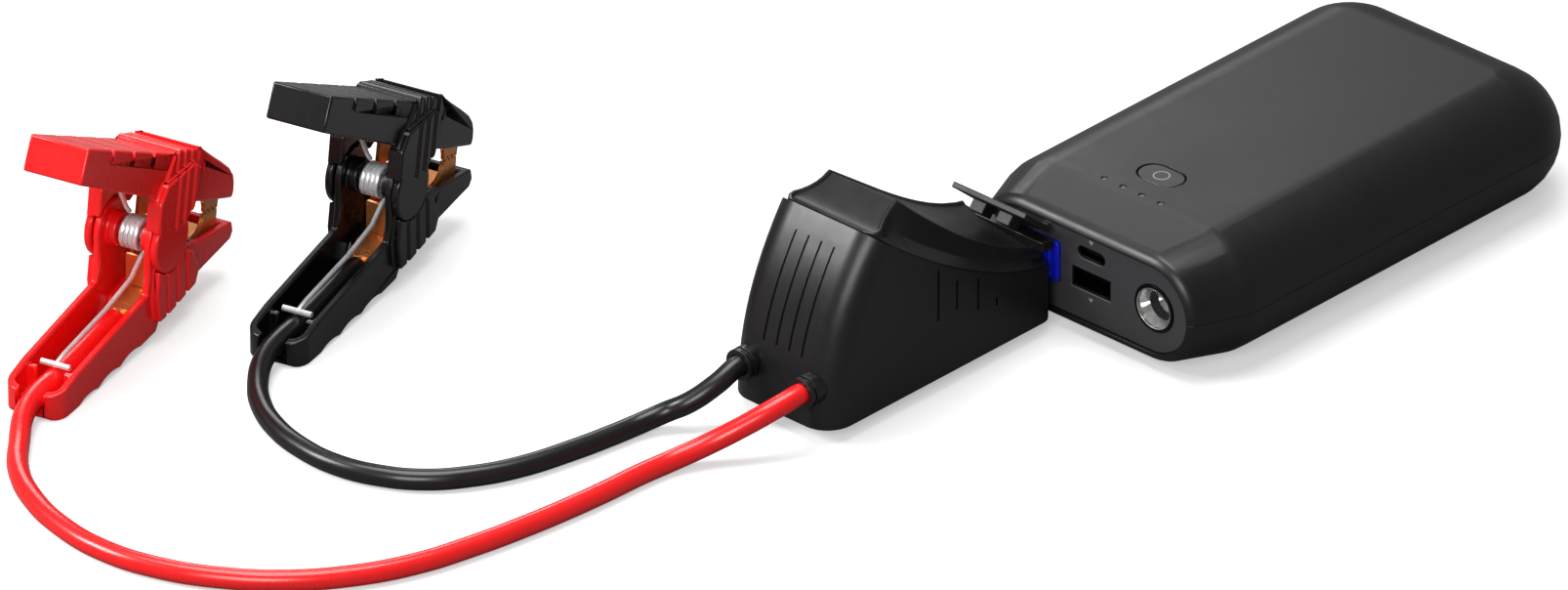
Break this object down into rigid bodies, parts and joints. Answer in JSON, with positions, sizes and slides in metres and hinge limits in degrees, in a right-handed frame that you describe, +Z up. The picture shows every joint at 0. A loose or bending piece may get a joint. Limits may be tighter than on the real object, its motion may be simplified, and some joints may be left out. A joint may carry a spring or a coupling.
{
  "type": "jump starter pack",
  "caption": "Slim jump starter power pack with a torch, charge sockets and a power button, and a plug-in clamp module whose free cables end in sprung battery clamps.",
  "frame": {"origin": "middle of the pack's flat bottom, on the surface it lies on", "axes": "+Z up, -Y the way the sockets face, +X the side of the torch"},
  "size_m": [0.244, 0.4033, 0.0721],
  "materials": {
    "shell_plastic": "fine matte moulding",
    "panel_plastic": "matte",
    "cell_pouch": "dull foil pouch",
    "foam": "closed-cell foam",
    "circuit_board": "solder mask",
    "steel": "plated",
    "switch_plastic": "matte",
    "clear_plastic": "clear moulding",
    "reflector": "bright",
    "led": "phosphor",
    "blue_plastic": "semi-gloss",
    "brass": "bright",
    "module_plastic": "satin moulding",
    "soft_black": "soft satin",
    "soft_red": "soft satin",
    "copper": "copper-coloured stamping, bright",
    "spring_steel": "bright wire",
    "clamp_red": "semi-gloss",
    "clamp_black": "semi-gloss"
  },
  "bodies": {
    "pack": {"bottom_shell": "shell_plastic", "top_shell": "shell_plastic", "front_panel": "panel_plastic", "battery_cells": "cell_pouch", "cell_foam_pad": "foam", "main_circuit_board": "circuit_board", "board_screws": "steel", "button_switch": "switch_plastic", "led_light_pipes": "clear_plastic", "torch_reflector": "reflector", "torch_lens": "clear_plastic", "torch_led": "led", "usb_a_socket": "steel", "usb_c_socket": "steel", "output_socket_housing": "blue_plastic", "output_socket_contacts": "brass", "shell_screws": "steel", "cover_hinge_pin": "steel"},
    "power_button": {"power_button": "shell_plastic"},
    "socket_cover": {"socket_cover": "shell_plastic"},
    "lead_set": {"module_body": "module_plastic", "module_base": "module_plastic", "module_top_cover": "module_plastic", "module_circuit_board": "circuit_board", "module_relay": "switch_plastic", "module_screws": "steel", "plug_housing": "blue_plastic", "plug_pins": "brass", "cable_grommets": "soft_black", "cable_lugs": "copper", "red_cable": "soft_red", "black_cable": "soft_black", "red_lower_handle": "clamp_red", "red_lower_jaw_plate": "copper", "red_hinge_pin": "steel", "red_spring": "spring_steel", "red_cable_crimp": "copper", "black_lower_handle": "clamp_black", "black_lower_jaw_plate": "copper", "black_hinge_pin": "steel", "black_spring": "spring_steel", "black_cable_crimp": "copper"},
    "red_clamp_upper": {"red_upper_handle": "clamp_red", "red_upper_jaw_plate": "copper", "red_spring_arm": "spring_steel"},
    "black_clamp_upper": {"black_upper_handle": "clamp_black", "black_upper_jaw_plate": "copper", "black_spring_arm": "spring_steel"}
  },
  "joints": [
    {"name": "button_press", "type": "slide", "parent": "pack", "child": "power_button", "axis": [0, 0, -1], "range_m": [0, 0.0006], "stiffness_N_per_m": 1500, "springref_m": -0.0006},
    {"name": "cover_hinge", "type": "hinge", "parent": "pack", "child": "socket_cover", "pos_m": [-0.0231, -0.0745, 0.028], "axis": [-1, 0, 0], "range_deg": [-18, 45]},
    {"name": "plug_slide", "type": "slide", "parent": "pack", "child": "lead_set", "axis": [0, -1, 0], "range_m": [0, 0.018]},
    {"name": "red_clamp_hinge", "type": "hinge", "parent": "lead_set", "child": "red_clamp_upper", "pos_m": [-0.18318, -0.23367, 0.027], "axis": [0.9686, 0.2487, 0], "range_deg": [0, 35], "stiffness_Nm_per_rad": 0.35, "springref_deg": -28.65},
    {"name": "black_clamp_hinge", "type": "hinge", "parent": "lead_set", "child": "black_clamp_upper", "pos_m": [-0.15718, -0.17167, 0.027], "axis": [0.9686, 0.2487, 0], "range_deg": [0, 35], "stiffness_Nm_per_rad": 0.35, "springref_deg": -28.65}
  ]
}
